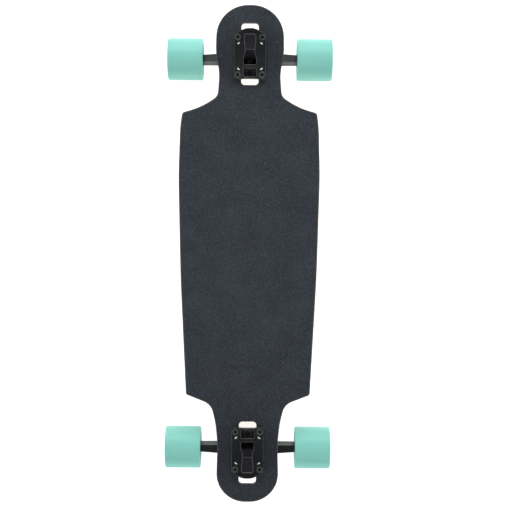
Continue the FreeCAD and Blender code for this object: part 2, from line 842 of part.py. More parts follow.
def build_truck(end_name, end):
    """All pieces of one truck; the tail's truck is the nose's one turned half round."""
    truck = Placement(Vector(0, number(half_spacing) * end, 0),
                      Rotation(Vector(0, 0, 1), 0 if end > 0 else 180))
    pivot = truck.multiply(at(0, ring_along, ring_height,
                              Rotation(Vector(1, 0, 0), number(size.pivot_angle))))
    along_pivot = pivot.multiply(at(rotation=SIDE))
    along_kingpin = pivot.multiply(at(rotation=UPRIGHT))
    axle = truck.multiply(at(0, size.axle_lead, axle_height, FRONT))
    build_baseplate(end_name + "_baseplate", truck, pivot)

    from_pivot = pivot.multiply(at(y=pivot_place, rotation=SIDE))
    depth = size.pivot_cup_depth
    keep(turned(end_name + "_pivot_cup", from_pivot, [
        (-cup_radius, 0), (-cup_radius, cup_radius, cup_radius * DOME_SHARE),
        (depth, cup_radius), (depth, cup_bore), (-cup_bore, cup_bore, cup_bore * DOME_SHARE),
        (-cup_bore, 0)]))

    name = end_name + "_kingpin"
    shank = turned(name + "_shank", along_kingpin,
                   bar(-kingpin_end, seat_end + size.kingpin_head_height / 2, kingpin_radius))
    head = hexagon(name + "_head", pivot.multiply(at(z=seat_end)), size.kingpin_head_width,
                   size.kingpin_head_height)
    keep(fused(name, shank, head))
    keep(nut(end_name + "_kingpin_nut", pivot.multiply(at(z=-nut_end)), size.kingpin_nut_width,
             size.kingpin_nut_height, kingpin_radius))

    bore = kingpin_radius + size.kingpin_fit
    bushing_radius = size.bushing_diameter / 2
    washer_radius = size.cup_washer_diameter / 2
    for side, way in (("boardside", 1), ("roadside", -1)):
        keep(turned(f"{end_name}_{side}_bushing", along_kingpin, [
            (bushing_start * way, bore), (bushing_end * way, bore),
            (bushing_end * way, bushing_radius * BUSHING_END_SHARE, size.bushing_round),
            ((bushing_start + bushing_end) / 2 * way, bushing_radius, size.bushing_round),
            (bushing_start * way, bushing_radius, size.bushing_round)]))
        keep(turned(f"{end_name}_{side}_washer", along_kingpin,
                    tube(bushing_end * way, washer_end * way, bore, washer_radius)))

    head_radius = size.bolt_head_diameter / 2
    shank_radius = size.bolt_diameter / 2
    bolt_top = flange_top - size.bolt_head_sink
    bolt_low = deck_bottom - size.mount_nut_height - size.bolt_tail
    bolt_tip = shank_radius * BAR_END_SHARE
    socket_floor = bolt_top - size.bolt_socket_depth
    bolts, nuts = [], []
    for count, (x, y) in enumerate(bolt_places(), start=1):
        name = f"{end_name}_bolt_{count}"
        stud = turned(name + "_stud", truck.multiply(at(x, y, 0, UPRIGHT)), [
            (bolt_low, 0), (bolt_low, bolt_tip), (bolt_low + shank_radius - bolt_tip, shank_radius),
            (bolt_top - size.bolt_head_depth, shank_radius), (bolt_top, head_radius),
            (bolt_top, 0)])
        socket = hexagon(name + "_socket", truck.multiply(at(x, y, socket_floor)),
                         size.bolt_socket_width, size.bolt_socket_depth)
        bolts.append(cut(name, stud, socket))
        low = truck.multiply(at(x, y, deck_bottom - size.mount_nut_height))
        nuts.append(nut(f"{end_name}_mount_nut_{count}", low, size.mount_nut_width,
                        size.mount_nut_height, shank_radius))
    keep(group(end_name + "_mounting_bolts", *bolts))
    keep(group(end_name + "_mounting_nuts", *nuts))

    build_hanger(end_name + "_hanger", pivot, along_pivot, axle)

    keep(turned(end_name + "_axle", axle, bar(-axle_end, axle_end, axle_radius)))
    bearing_bore = size.bearing_bore / 2
    inner_radius = size.inner_race_diameter / 2
    spans = [(start * way, (start + size.bearing_width) * way)
             for start in (inner_bearing, outer_bearing) for way in (-1, 1)]
    races = turned(end_name + "_race_blanks", axle,
                   *[tube(start, stop, bearing_bore, inner_radius) for start, stop in spans])
    keep(cut(end_name + "_bearing_inner_races", races,
             *[ball_groove(f"{end_name}_inner_groove_{count}", axle, (start + stop) / 2)
               for count, (start, stop) in enumerate(spans, start=1)]))
    keep(turned(end_name + "_bearing_spacers", axle, *[
        tube(spacer_start * way, outer_bearing * way, bearing_bore, size.spacer_diameter / 2)
        for way in (-1, 1)]))
    keep(turned(end_name + "_axle_washers", axle, *[
        tube(start * way, (start + size.axle_washer_thickness) * way, bearing_bore,
             size.axle_washer_diameter / 2)
        for start in (hanger_end, washer_start) for way in (-1, 1)]))
    along_x = Rotation(Vector(0, 1, 0), 90)
    spots = [nut_start, -nut_start - size.axle_nut_height]
    nuts = [nut(f"{end_name}_axle_nut_{count}",
                truck.multiply(at(start, size.axle_lead, axle_height, along_x)),
                size.axle_nut_width, size.axle_nut_height, axle_radius)
            for count, start in enumerate(spots, start=1)]
    keep(group(end_name + "_axle_nuts", *nuts))
    for side, way in (("left", -1), ("right", 1)):
        build_wheel(f"{end_name}_{side}", axle, way * end)


def ball_groove(label, axle, middle):
    """Ring-shaped groove that the balls of one bearing run in."""
    item = doc.addObject("Part::Torus", label)
    bind(item, "Radius1", (size.inner_race_diameter + size.outer_race_bore) / 4)
    bind(item, "Radius2", size.ball_diameter / 2 + size.ball_fit)
    item.Placement = axle.multiply(at(x=middle, rotation=Rotation(Vector(0, 1, 0), 90)))
    return item


def build_hanger(name, pivot, along_pivot, axle):
    """Tapered beam round the axle, ring round the kingpin, and nose in the pivot cup."""
    sections = []
    for label, place, depth, shift in (
            ("left", -hanger_end, size.hanger_depth_end, 0),
            ("middle", 0, size.hanger_depth_middle, size.hanger_middle_shift),
            ("right", hanger_end, size.hanger_depth_end, 0)):
        sketch = new_sketch(f"{name}_{label}_section", pivot.multiply(at(x=place, rotation=SIDE)))
        outline(sketch, [(depth / 2 * y + shift * run - size.axle_set_back,
                          depth / 2 * z - shift * rise - size.axle_drop)
                         for y, z in BEAM_SECTION_SHARES])
        sections.append(sketch)
    beam = doc.addObject("Part::Loft", name + "_beam")
    beam.Sections = sections
    beam.Solid = True
    beam.Ruled = True

    ring_radius = size.ring_diameter / 2
    spine_radius = size.spine_diameter / 2
    half_ring = size.ring_height / 2
    ring = cylinder(name + "_ring", pivot.multiply(at(z=-half_ring)), ring_radius,
                    size.ring_height)
    seat_radius = size.ring_seat_diameter / 2
    neck = mouth_place + size.pivot_cup_wall * NOSE_BARE_SHARE
    nose_end = pivot_place - nose_radius
    spine = turned(name + "_spine", along_pivot, [
        (nose_end, 0), (nose_end, nose_radius, nose_radius * DOME_SHARE), (neck, nose_radius),
        (neck + spine_radius - nose_radius, spine_radius), (-seat_radius, spine_radius),
        (-seat_radius, 0)])
    sketch = new_sketch(name + "_web_outline", pivot.multiply(at(z=-half_ring)))
    reach = hanger_end * WEB_REACH_SHARE
    start_out, start_back = WEB_START_SHARES
    tip = size.hanger_depth_end * WEB_TIP_SHARE
    outline(sketch, both_sides([(ring_radius * start_out, -ring_radius * start_back),
                                (reach, tip - size.axle_set_back),
                                (reach, -size.axle_set_back)]))
    web = extruded(name + "_web", sketch, size.ring_web)
    solid = fused(name + "_solid", beam, ring, spine, web)
    hole = cylinder(name + "_hole", pivot.multiply(at(z=-size.ring_diameter)),
                    size.ring_hole_diameter / 2, size.ring_diameter * 2)
    upper = cylinder(name + "_upper_seat", pivot.multiply(at(z=bushing_start)), seat_radius,
                     size.ring_diameter)
    lower_end = -bushing_start - size.ring_diameter
    lower = cylinder(name + "_lower_seat", pivot.multiply(at(z=lower_end)), seat_radius,
                     size.ring_diameter)
    bore = turned(name + "_axle_bore", axle, [
        (-axle_end, 0), (-axle_end, axle_radius), (axle_end, axle_radius), (axle_end, 0)])
    return keep(cut(name, solid, hole, upper, lower, bore))


def build_wheel(name, axle, way):
    """Tyre, core and bearings of one wheel, on the side of the axle given by its sign."""
    wheel_radius = size.wheel_diameter / 2
    mouth = size.wheel_mouth_diameter / 2
    core_radius = size.core_diameter / 2
    bearing_radius = size.bearing_diameter / 2
    edge, rim = size.wheel_edge_round, size.wheel_rim_round
    keep(turned(name + "_tyre", axle, [
        (inner_bearing * way, core_radius), (wheel_inner * way, mouth, rim),
        (wheel_inner * way, wheel_radius, edge), (wheel_outer * way, wheel_radius, edge),
        (wheel_outer * way, mouth, rim), (nut_start * way, core_radius)]))
    shoulder = size.core_shoulder_bore / 2
    keep(turned(name + "_core", axle, [
        (inner_bearing * way, bearing_radius), (spacer_start * way, bearing_radius),
        (spacer_start * way, shoulder), (outer_bearing * way, shoulder),
        (outer_bearing * way, bearing_radius), (washer_start * way, bearing_radius),
        (nut_start * way, core_radius), (inner_bearing * way, core_radius)]))
    race_bore = size.outer_race_bore / 2
    starts = (inner_bearing, outer_bearing)
    middles = [(start + size.bearing_width / 2) * way for start in starts]
    blanks = turned(name + "_race_blanks", axle, *[
        tube(start * way, (start + size.bearing_width) * way, race_bore, bearing_radius)
        for start in starts])
    keep(cut(name + "_bearing_outer_races", blanks,
             *[ball_groove(f"{name}_outer_groove_{count}", axle, middle)
               for count, middle in enumerate(middles, start=1)]))
    shield_low = size.inner_race_diameter / 2 + size.shield_clearance
    faces = []
    for start in starts:
        first = start + size.shield_sink
        last = start + size.bearing_width - size.shield_sink - size.shield_thickness
        faces += [first, last]
    keep(turned(name + "_bearing_shields", axle, *[
        tube(face * way, (face + size.shield_thickness) * way, shield_low, race_bore)
        for face in faces]))

    pitch = (size.inner_race_diameter + size.outer_race_bore) / 4
    ball_radius = size.ball_diameter / 2
    pocket_radius = ball_radius + size.cage_fit
    balls, cages = [], []
    for row, middle in enumerate(middles, start=1):
        pockets = []
        for count in range(BALLS_IN_BEARING):
            angle = Rotation(Vector(1, 0, 0), 360 * count / BALLS_IN_BEARING)
            place = axle.multiply(at(x=middle, rotation=angle)).multiply(at(y=pitch))
            balls.append(sphere(f"{name}_ball_{row}_{count + 1}", place, ball_radius))
            pockets.append(sphere(f"{name}_ball_pocket_{row}_{count + 1}", place, pocket_radius))
        near = ball_radius * CAGE_REACH_SHARE
        far = pocket_radius + size.cage_back
        blank = turned(f"{name}_cage_blank_{row}", axle, tube(
            middle + near * way, middle + far * way, pitch - size.cage_wall / 2,
            pitch + size.cage_wall / 2))
        cages.append(cut(f"{name}_cage_{row}", blank, *pockets))
    keep(group(name + "_bearing_balls", *balls))
    keep(group(name + "_bearing_cages", *cages))


build_truck("front", 1)
build_truck("rear", -1)
doc.recompute()

for item in doc.Objects:
    if "Invalid" in item.State or "Error" in item.State:
        raise RuntimeError(f"{item.Label} did not build: {item.State}")
os.makedirs("parts", exist_ok=True)
for piece in pieces:
    if piece.Shape.isNull() or not piece.Shape.isValid():
        raise RuntimeError(f"{piece.Label} has no valid shape")
    piece.Shape.exportStep(f"parts/{piece.Label}.step")
print(len(pieces), "pieces written")
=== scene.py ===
"""Looks of a drop-through longboard: gritty black deck, satin black trucks and mint wheels.

Metres, in the part's own frame: X across the board, Y along it with the nose at +Y, Z up.
"""
import json
import math

import bpy
import numpy as np
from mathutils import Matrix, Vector


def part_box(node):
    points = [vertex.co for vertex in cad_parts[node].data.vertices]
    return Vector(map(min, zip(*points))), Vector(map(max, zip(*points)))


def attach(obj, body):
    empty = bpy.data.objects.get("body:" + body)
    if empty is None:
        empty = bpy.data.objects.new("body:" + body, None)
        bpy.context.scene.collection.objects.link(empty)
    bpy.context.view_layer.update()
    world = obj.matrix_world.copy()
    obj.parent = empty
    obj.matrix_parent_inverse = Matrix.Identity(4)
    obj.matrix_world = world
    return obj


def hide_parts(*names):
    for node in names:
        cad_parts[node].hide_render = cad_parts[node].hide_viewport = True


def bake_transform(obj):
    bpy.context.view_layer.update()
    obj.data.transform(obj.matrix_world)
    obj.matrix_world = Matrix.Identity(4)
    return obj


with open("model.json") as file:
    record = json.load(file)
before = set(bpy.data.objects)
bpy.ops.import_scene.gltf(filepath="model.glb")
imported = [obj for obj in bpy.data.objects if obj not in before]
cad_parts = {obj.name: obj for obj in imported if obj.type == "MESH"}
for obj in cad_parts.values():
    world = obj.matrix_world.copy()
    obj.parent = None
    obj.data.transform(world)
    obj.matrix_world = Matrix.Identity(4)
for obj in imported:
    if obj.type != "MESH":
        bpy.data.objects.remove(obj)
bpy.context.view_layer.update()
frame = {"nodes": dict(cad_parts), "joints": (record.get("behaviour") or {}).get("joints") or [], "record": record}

nodes = frame["nodes"]
joints = {joint["name"]: joint for joint in frame["joints"]}
ENDS = ("front", "rear")
SIDES = ("left", "right")

# The photograph's view, straight down. Its side and focal length are in pixels, the sensor in mm.
PHOTO_SIDE = 510
FOCAL_PIXELS = 1170
SENSOR_WIDTH = 36.0
CAMERA_PLACE = (0.0107, -0.0027, 2.07)
CAMERA_ROLL = math.radians(0.375)

# The deck: seven plies, flat in its middle, bent up along both rails, clear-coated below.
PLIES = 7
BEND_CORNER = 0.078
BEND_RADIUS = 0.200
RAIL_ANGLE = math.radians(9.6)
BEND_START = BEND_CORNER - BEND_RADIUS * math.tan(RAIL_ANGLE / 2)
BEND_STOP = BEND_START + BEND_RADIUS * math.sin(RAIL_ANGLE)
DECK_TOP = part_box("grip_tape")[0].z
DECK_THICKNESS = DECK_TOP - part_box("deck")[0].z
PLY = DECK_THICKNESS / PLIES
UNDERSIDE_FADE = (0.00015, 0.0004)
RAGGED_DEPTH = 0.0004

# The trucks: places of their axles and bolts, and the channel and well in each plate's top.
AXLE_LEAD = 0.004
AXLE_PLACE = joints["front_left_spin"]["pos_m"][1]
AXLE_HEIGHT = joints["front_left_spin"]["pos_m"][2]
TRUCK_PLACE = AXLE_PLACE - AXLE_LEAD
BOLT_ACROSS = 0.0413 / 2
BOLT_ALONG = 0.0635 / 2
BOLT_HEAD_RADIUS = 0.0094 / 2
HEAD_RING_INNER_SHARES = (0.64, 0.74)
HEAD_RING_OUTER_SHARES = (0.90, 0.98)
PLATE_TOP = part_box("front_baseplate")[1].z
CHANNEL_DEPTH = 0.0016
CHANNEL_FLOOR = PLATE_TOP - CHANNEL_DEPTH
WELL_LIP = 0.00012
WELL_FADE = 0.004

# Points of each arc in the profile of a turned piece, and steps round the pieces.
ARC_POINTS = 8
BUSHING_STEPS = 96
WHEEL_STEPS = 160

# The bushings: shares of their radius and height, and the roundings of their profile.
BUSHING_WAIST_SHARE = 0.93
BUSHING_BELLY_SHARE = 0.32
BUSHING_BORE_ROUND = 0.0006
BUSHING_RIM_ROUND = 0.0022
BUSHING_BELLY_ROUND = 0.012

# The wheels, which stand on the floor.
WHEEL_RADIUS = AXLE_HEIGHT
WHEEL_TOP = AXLE_HEIGHT + WHEEL_RADIUS
WHEEL_MOUTH_RADIUS = 0.028
WHEEL_EDGE_ROUND = 0.0025
WHEEL_RIM_ROUND = 0.002
CORE_SEAT_ROUND = 0.0003
TREAD_SKIN = 0.0012

# The grip tape: its grains, and the painted shade in an oval round each truck and towards the tail.
GRIT_WIDTH = 0.0007
SHADE_OVAL_ACROSS = 0.075
SHADE_OVAL_ALONG = 0.058
SHADE_OVAL_SHARES = (0.5, 1.2)
TAIL_FADE = (-0.36, -0.05)

# Edges: how wide they look rounded, how wide their grey is (on the trucks' cast edges partly wear, partly
# painted highlight), and one less the cosine of an edge's turn, where the grey starts and where it is full.
CAST_EDGE_ROUND = 0.0006
CAST_EDGE_MARK_WIDTH = 0.002
FINE_EDGE_ROUND = 0.0003
FINE_WEAR_WIDTH = 0.0004
EDGE_MARK_TURN = (0.03, 0.2)

# The studio.
FLOOR_REACH = 12.0
WALL_HEIGHT = 3.0
FLOOR_GLOW = 0.72
SURROUND_STRENGTH = 0.05

# Colours of the finishes, in linear red, green and blue.
GRIT_DARK = (0.0220, 0.0272, 0.0345)
GRIT_LIGHT = (0.0490, 0.0590, 0.0725)
GRIT_PAINTED_SHADE = (0.014, 0.015, 0.018)
GRIT_SCUFFED = (0.085, 0.092, 0.10)
GRIT_GLINT = (0.18, 0.19, 0.20)
MAPLE_DARK = (0.44, 0.265, 0.125)
MAPLE_LIGHT = (0.66, 0.455, 0.255)
MAPLE_PORES = (0.26, 0.14, 0.06)
MAPLE_CROSSED = (0.30, 0.17, 0.075)
GLUE_LINE = (0.10, 0.055, 0.025)
STAIN_DARK = (0.0075, 0.008, 0.009)
STAIN_LIGHT = (0.016, 0.017, 0.018)
RIM_DARK = (0.068, 0.069, 0.074)
RIM_LIGHT = (0.115, 0.116, 0.121)
COAT_DARK = (0.0050, 0.0055, 0.0068)
COAT_LIGHT = (0.0082, 0.0088, 0.0104)
COAT_DUST_AND_HIGHLIGHT = (0.085, 0.088, 0.093)
COAT_WORN_AND_HIGHLIGHT = (0.19, 0.195, 0.205)
MINT_DARK = (0.225, 0.640, 0.555)
MINT_LIGHT = (0.255, 0.680, 0.600)
MINT_GROUND = (0.25, 0.56, 0.49)
BUSHING_DARK = (0.020, 0.021, 0.023)
BUSHING_LIGHT = (0.040, 0.041, 0.044)
BOLT_DARK = (0.005, 0.0052, 0.006)
BOLT_LIGHT = (0.011, 0.0115, 0.013)
BOLT_RUBBED_AND_HIGHLIGHT = (0.14, 0.145, 0.15)
FLOOR_DARK = (0.87, 0.87, 0.87)
FLOOR_LIGHT = (0.9, 0.9, 0.9)


class Wire:
    """An output of a shader node. Arithmetic on it adds Math nodes to the same finish."""

    def __init__(self, finish, socket):
        self.finish = finish
        self.socket = socket

    def worked(self, operation, *terms):
        """Math node over values or wires, taken in order."""
        return self.finish.node("ShaderNodeMath", {"operation": operation},
                                dict(enumerate(terms)))

    def __add__(self, other):
        return self.worked("ADD", self, other)

    __radd__ = __add__

    def __sub__(self, other):
        return self.worked("SUBTRACT", self, other)

    def __rsub__(self, other):
        return self.worked("SUBTRACT", other, self)

    def __mul__(self, other):
        return self.worked("MULTIPLY", self, other)

    __rmul__ = __mul__

    def __truediv__(self, other):
        return self.worked("DIVIDE", self, other)

    def __gt__(self, other):
        return self.worked("GREATER_THAN", self, other)

    def __lt__(self, other):
        return self.worked("LESS_THAN", self, other)

    def __abs__(self):
        return self.worked("ABSOLUTE", self)

    def __mod__(self, other):
        return self.worked("FLOORED_MODULO", self, other)

    def least(self, other):
        """The smaller of two values."""
        return self.worked("MINIMUM", self, other)

    def most(self, other):
        """The larger of two values."""
        return self.worked("MAXIMUM", self, other)

    def root(self):
        """Square root."""
        return self.worked("SQRT", self)

    def between(self, low, high):
        """Share of the way from low to high, eased at both ends."""
        return self.finish.node("ShaderNodeMapRange", {"interpolation_type": "SMOOTHSTEP"},
                                {"Value": self, "From Min": low, "From Max": high})


class Finish:
    """A material of one finish, with its patterns on Object coordinates."""

    def __init__(self, name, same_all_over):
        self.material = bpy.data.materials.new(name)
        self.material.use_nodes = True
        self.tree = self.material.node_tree
        self.shader = self.tree.nodes["Principled BSDF"]
        self.place = self.node("ShaderNodeTexCoord", {}, {}, "Object")
        for socket, value in same_all_over.items():
            self.shader.inputs[socket].default_value = value

    def node(self, kind, settings, places, output=0):
        """Add a node: its settings first, then the values or links of its sockets."""
        made = self.tree.nodes.new(kind)
        for name, value in settings.items():
            setattr(made, name, value)
        for name, value in places.items():
            if isinstance(value, Wire):
                self.tree.links.new(value.socket, made.inputs[name])
            else:
                made.inputs[name].default_value = value
        return Wire(self, made.outputs[output])

    def feed(self, varying):
        """Link what changes over the surface to the shader."""
        for socket, wire in varying.items():
            self.tree.links.new(wire.socket, self.shader.inputs[socket])
        return self.material

    def axis(self, letter):
        """One coordinate of the place on the object."""
        return self.node("ShaderNodeSeparateXYZ", {}, {0: self.place}, letter)

    def stretched(self, factors):
        """The place on the object, multiplied along each axis."""
        return self.node("ShaderNodeVectorMath", {"operation": "MULTIPLY"},
                         {0: self.place, 1: factors})

    def noise(self, width, detail, shape=(1, 1, 1)):
        """Cloudy value about 0.5 whose lumps have a width, stretched by shape."""
        factors = tuple(part / width for part in shape)
        return self.node("ShaderNodeTexNoise", {}, {
            "Vector": self.stretched(factors), "Scale": 1.0, "Detail": detail})

    def grains(self, width):
        """Random value from 0 to 1 for each grain of a packed layer."""
        colour = self.node("ShaderNodeTexVoronoi", {}, {
            "Vector": self.place, "Scale": 1 / width}, "Color")
        return self.node("ShaderNodeSeparateColor", {}, {0: colour}, 0)

    def grain_edges(self, width):
        """Distance from the middle of each grain, in grain widths."""
        return self.node("ShaderNodeTexVoronoi", {}, {
            "Vector": self.place, "Scale": 1 / width}, "Distance")

    def mixed(self, share, first, second):
        """Colour that goes from first to second with a share."""
        return self.node("ShaderNodeMix", {"data_type": "RGBA"}, {
            0: share, 6: whole(first), 7: whole(second)}, 2)

    def bump(self, height, depth, strength, normal=None):
        """Normal for a surface whose height, from 0 to 1, is worth a depth."""
        places = {"Strength": strength, "Distance": depth, "Height": height}
        if normal is not None:
            places["Normal"] = normal
        return self.node("ShaderNodeBump", {}, places)

    def edge_normal(self, width):
        """Normal that rounds sharp edges over a width."""
        return self.node("ShaderNodeBevel", {"samples": 6}, {"Radius": width})

    def sharp_edge_mask(self, width):
        """How far a place is on a sharp edge: the turn of its rounded normal."""
        flat = self.node("ShaderNodeNewGeometry", {}, {}, "Normal")
        match = self.node("ShaderNodeVectorMath", {"operation": "DOT_PRODUCT"}, {
            0: self.edge_normal(width), 1: flat}, "Value")
        return (1 - match).between(*EDGE_MARK_TURN)


def whole(colour):
    """A colour as red, green, blue and full cover; a wire stays as it is."""
    return colour if isinstance(colour, Wire) else (*colour, 1.0)


def grip_tape_finish():
    """Dark grit on cloth: packed grains, a few that glint, faint scuffs and blotches.

    The tape is darker in an oval round each truck and towards the tail: painted shade.
    """
    tape = Finish("grip_tape_grit", {"Specular IOR Level": 0.25})
    grit = tape.grains(GRIT_WIDTH)
    glint = grit > 0.975
    speckle = tape.noise(width=0.0026, detail=3.0)
    blotch = tape.noise(width=0.05, detail=2.0)
    scuff = tape.noise(width=0.012, detail=4.0, shape=(1, 0.35, 1)).between(0.62, 0.8)
    tone = (grit * 0.30 + speckle * 0.42 + blotch * 0.28).between(0.29, 0.71)
    body = tape.mixed(tone, GRIT_DARK, GRIT_LIGHT)
    # Painted shade: the tape is darker in an oval round each truck.
    along = tape.axis("Y")
    aside = tape.axis("X") / SHADE_OVAL_ACROSS
    forth = (abs(along) - TRUCK_PLACE) / SHADE_OVAL_ALONG
    truck_shade = 1 - (aside * aside + forth * forth).root().between(*SHADE_OVAL_SHARES)
    body = tape.mixed(truck_shade * 0.55, body, GRIT_PAINTED_SHADE)
    # Painted shade: the tape darkens towards the tail.
    tailward = 1 - along.between(*TAIL_FADE)
    body = tape.mixed(tailward * 0.25, body, GRIT_PAINTED_SHADE)
    scuffed = tape.mixed(scuff * 0.10, body, GRIT_SCUFFED)
    colour = tape.mixed(glint * 0.35, scuffed, GRIT_GLINT)
    height = tape.grain_edges(GRIT_WIDTH) * 0.6 + tape.noise(width=0.0004, detail=2.0) * 0.4
    return tape.feed({"Base Color": colour, "Roughness": 0.93 - glint * 0.5,
                      "Normal": tape.bump(height, depth=0.00035, strength=0.8)})


def depth_in_deck(finish):
    """Depth below the deck's bent top: its level, plus the rise of the bend, less the height.

    The rise is an arc's from the start of the bend to its stop, and a slope's beyond it.
    """
    across = abs(finish.axis("X"))
    on_arc = (across - BEND_START).most(0).least(BEND_STOP - BEND_START)
    arc_rise = BEND_RADIUS - (BEND_RADIUS ** 2 - on_arc * on_arc).root()
    rail_rise = (across - BEND_STOP).most(0) * math.tan(RAIL_ANGLE)
    return arc_rise + rail_rise + DECK_TOP - finish.axis("Z")


def deck_finish():
    """Pressed maple: rubbed grey top, dark-stained edge with faint plies, clear-coated underside."""
    wood = Finish("deck_maple", {"Coat Roughness": 0.18, "IOR": 1.5})
    depth = depth_in_deck(wood)
    ply = depth / PLY
    layer = ply - ply % 1
    crossed = (layer % 2) * 0.8
    glue = (abs(ply % 1 - 0.5)).between(0.40, 0.49)
    figure = wood.noise(width=0.05, detail=6.0, shape=(2.6, 0.10, 2.6))
    streaks = wood.noise(width=0.0035, detail=3.0, shape=(1, 0.035, 1))
    pores = wood.noise(width=0.0009, detail=2.0, shape=(1, 0.06, 1)).between(0.62, 0.75)
    tone = (figure * 0.6 + streaks * 0.4).between(0.32, 0.68)
    face = wood.mixed(tone, MAPLE_DARK, MAPLE_LIGHT)
    face = wood.mixed(pores * 0.35, face, MAPLE_PORES)
    edge = wood.mixed(crossed, face, MAPLE_CROSSED)
    edge = wood.mixed(glue * 0.55, edge, GLUE_LINE)
    inside = (DECK_THICKNESS - depth).between(*UNDERSIDE_FADE)
    stained = wood.mixed(streaks, STAIN_DARK, STAIN_LIGHT)
    sealed = wood.mixed(0.07, stained, edge)
    ragged = wood.noise(width=0.004, detail=3.0) * RAGGED_DEPTH
    top = 1 - (depth + ragged).between(PLY * 0.25, PLY * 0.5)
    rim = wood.mixed(streaks, RIM_DARK, RIM_LIGHT)
    colour = wood.mixed(top, wood.mixed(inside, face, sealed), rim)
    roughness = 0.36 + inside * 0.16 + streaks * 0.08
    grain = wood.bump(streaks + pores * -0.8, depth=0.00008, strength=0.5)
    return wood.feed({"Base Color": colour, "Roughness": roughness, "Normal": grain,
                      "Coat Weight": (1 - inside) * 0.5})


def truck_finish():
    """Satin black powder coat on cast metal: fine peel, and grey on the edges, partly wear and partly painted
    highlight.

    It is smoothest on the plates' tops, and rough and metallic in their wells, which darkens them as painted
    shade.
    Below the wheels' tops it is a little dusty, and much lighter on what faces up: a painted highlight.
    """
    paint = Finish("truck_black_coat", {"IOR": 1.42})
    peel = paint.noise(width=0.0005, detail=2.0)
    cloud = paint.noise(width=0.02, detail=3.0)
    # Grey on sharp edges: partly wear, partly painted highlight.
    edge_mask = paint.sharp_edge_mask(CAST_EDGE_MARK_WIDTH) * (0.6 + paint.noise(width=0.004, detail=4.0) * 0.4)
    body = paint.mixed(cloud, COAT_DARK, COAT_LIGHT)
    # Lighter below the wheels' tops: a little dust everywhere, and a painted highlight on what faces up.
    facing = paint.node("ShaderNodeTexCoord", {}, {}, "Normal")
    upward = paint.node("ShaderNodeSeparateXYZ", {}, {0: facing}, "Z")
    height = paint.axis("Z")
    dust_and_highlight = (0.1 + upward.between(0.97, 0.99) * 0.9) * (height < WHEEL_TOP)
    body = paint.mixed(dust_and_highlight * (0.5 + cloud * 0.5), body, COAT_DUST_AND_HIGHLIGHT)
    colour = paint.mixed(edge_mask * 0.85, body, COAT_WORN_AND_HIGHLIGHT)
    sunk = 1 - height.between(CHANNEL_FLOOR + CHANNEL_DEPTH / 8, CHANNEL_FLOOR + CHANNEL_DEPTH / 2)
    # Painted shade: rough and metallic in the wells, which darkens them.
    over_well = height.between(CHANNEL_FLOOR - WELL_LIP, CHANNEL_FLOOR - WELL_LIP / 12)
    well = height.between(WHEEL_TOP, WHEEL_TOP + WELL_FADE) * (1 - over_well)
    roughness = 0.15 + sunk * 0.03 + well * 0.4 + cloud * 0.05 + peel * 0.03
    normal = paint.bump(peel, depth=0.00006, strength=0.25,
                        normal=paint.edge_normal(CAST_EDGE_ROUND))
    return paint.feed({"Base Color": colour, "Roughness": roughness, "Normal": normal,
                       "Metallic": well * 0.75})


def tyre_finish():
    """Cast mint urethane: slightly cloudy, ground on its tread, glossier on its lips."""
    cast = Finish("tyre_mint_urethane", {
        "Subsurface Weight": 0.18, "Subsurface Radius": (0.5, 1.0, 0.8),
        "Subsurface Scale": 0.004, "IOR": 1.48})
    forth = abs(cast.axis("Y")) - AXLE_PLACE
    up = cast.axis("Z") - AXLE_HEIGHT
    reach = (forth * forth + up * up).root()
    tread = reach.between(WHEEL_RADIUS - TREAD_SKIN, WHEEL_RADIUS - TREAD_SKIN / 3)
    cloud = cast.noise(width=0.018, detail=4.0)
    speck = cast.noise(width=0.0012, detail=2.0)
    body = cast.mixed(cloud, MINT_DARK, MINT_LIGHT)
    colour = cast.mixed(tread * speck * 0.2, body, MINT_GROUND)
    lathe = cast.noise(width=0.0006, detail=2.0, shape=(1, 0, 0))
    height = (lathe * 0.7 + speck * 0.3) * (tread * 0.85 + 0.15)
    return cast.feed({"Base Color": colour, "Roughness": 0.32 + tread * 0.14 + cloud * 0.06,
                      "Normal": cast.bump(height, depth=0.00005, strength=0.5)})


def bushing_finish():
    """Cast urethane of the bushings: dark, a little cloudy and waxy."""
    cast = Finish("bushing_dark_urethane", {"Subsurface Weight": 0.05, "IOR": 1.5})
    cloud = cast.noise(width=0.006, detail=4.0)
    speck = cast.noise(width=0.0007, detail=2.0)
    colour = cast.mixed(cloud, BUSHING_DARK, BUSHING_LIGHT)
    return cast.feed({"Base Color": colour, "Roughness": 0.38 + speck * 0.15,
                      "Normal": cast.bump(speck, depth=0.00006, strength=0.4)})


def plated_finish(name, dark, light, worn, roughness):
    """Plated or turned metal: fine scratches, stains, and edges of a worn colour."""
    plate = Finish(name, {"Metallic": 1.0})
    scratch = plate.noise(width=0.0006, detail=3.0, shape=(1, 1, 0.15))
    stain = plate.noise(width=0.005, detail=4.0)
    edge_mask = plate.sharp_edge_mask(FINE_WEAR_WIDTH)
    body = plate.mixed(stain * 0.6 + scratch * 0.4, dark, light)
    colour = plate.mixed(edge_mask * 0.7, body, worn)
    normal = plate.bump(scratch, depth=0.00003, strength=0.5,
                        normal=plate.edge_normal(FINE_EDGE_ROUND))
    return plate.feed({"Base Color": colour, "Normal": normal,
                       "Roughness": roughness + scratch * 0.12 + stain * 0.08})


